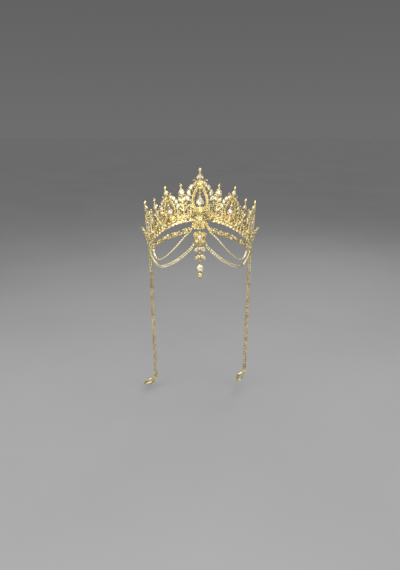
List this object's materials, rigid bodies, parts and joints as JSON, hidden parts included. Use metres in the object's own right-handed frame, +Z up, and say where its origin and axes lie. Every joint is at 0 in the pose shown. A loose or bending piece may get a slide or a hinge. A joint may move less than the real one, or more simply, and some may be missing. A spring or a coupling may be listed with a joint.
{
  "type": "bridal crown",
  "caption": "Open baroque bridal tiara in gold filigree set with crystals, with a brow vine, draped chains, a swinging centre drop and long side chains ending in clasps.",
  "frame": {"origin": "middle of the base ring, where the head goes in", "axes": "+Z up as worn, -Y towards the front, +X to the right of the front view"},
  "size_m": [0.1792, 0.0951, 0.3414],
  "materials": {
    "gold": "pale gold plate, polished",
    "crystal": "clear faceted crystal"
  },
  "bodies": {
    "crown": {"crown_frame": "gold", "pear_centre": "crystal", "heart_centre": "crystal", "pear_left_1": "crystal", "pear_right_1": "crystal", "pear_left_2": "crystal", "heart_left_2": "crystal", "pear_right_2": "crystal", "heart_right_2": "crystal", "pear_left_3": "crystal", "pear_right_3": "crystal", "pear_left_4": "crystal", "heart_left_4": "crystal", "pear_right_4": "crystal", "heart_right_4": "crystal", "crest_leaf_right_1": "crystal", "crest_leaf_left_1": "crystal", "crest_leaf_right_2": "crystal", "crest_leaf_left_2": "crystal", "crest_leaf_right_3": "crystal", "crest_leaf_left_3": "crystal", "crest_leaf_right_4": "crystal", "crest_leaf_left_4": "crystal", "pendant_flower": "gold", "flower_stone": "crystal", "brow_vine_left": "gold", "upper_drape_left": "gold", "lower_drape_left_1": "gold", "lower_drape_left_2": "gold", "side_chain_left_outer": "gold", "side_chain_left_inner": "gold", "brow_vine_right": "gold", "upper_drape_right": "gold", "lower_drape_right_1": "gold", "lower_drape_right_2": "gold", "side_chain_right_outer": "gold", "side_chain_right_inner": "gold", "clasp_body_left": "gold", "clasp_ring_left": "gold", "clasp_end_ring_left": "gold", "clasp_body_right": "gold", "clasp_ring_right": "gold", "clasp_end_ring_right": "gold"},
    "drop": {"drop_leaf_upper": "gold", "drop_leaf_lower": "gold", "drop_tear": "gold", "tear_stone": "crystal"},
    "lever_left": {"clasp_lever_left": "gold"},
    "lever_right": {"clasp_lever_right": "gold"}
  },
  "joints": [
    {"name": "drop_swing", "type": "hinge", "parent": "crown", "child": "drop", "pos_m": [0, -0.0635, 0.01885], "axis": [1, 0, 0], "range_deg": [-70, 45]},
    {"name": "clasp_lever_left_pivot", "type": "hinge", "parent": "crown", "child": "lever_left", "pos_m": [-0.07717, -0.0127, -0.21174], "axis": [0, -1, 0], "range_deg": [0, 15], "stiffness_Nm_per_rad": 0.002},
    {"name": "clasp_lever_right_pivot", "type": "hinge", "parent": "crown", "child": "lever_right", "pos_m": [0.06832, -0.0127, -0.2044], "axis": [0, 1, 0], "range_deg": [0, 15], "stiffness_Nm_per_rad": 0.002}
  ]
}
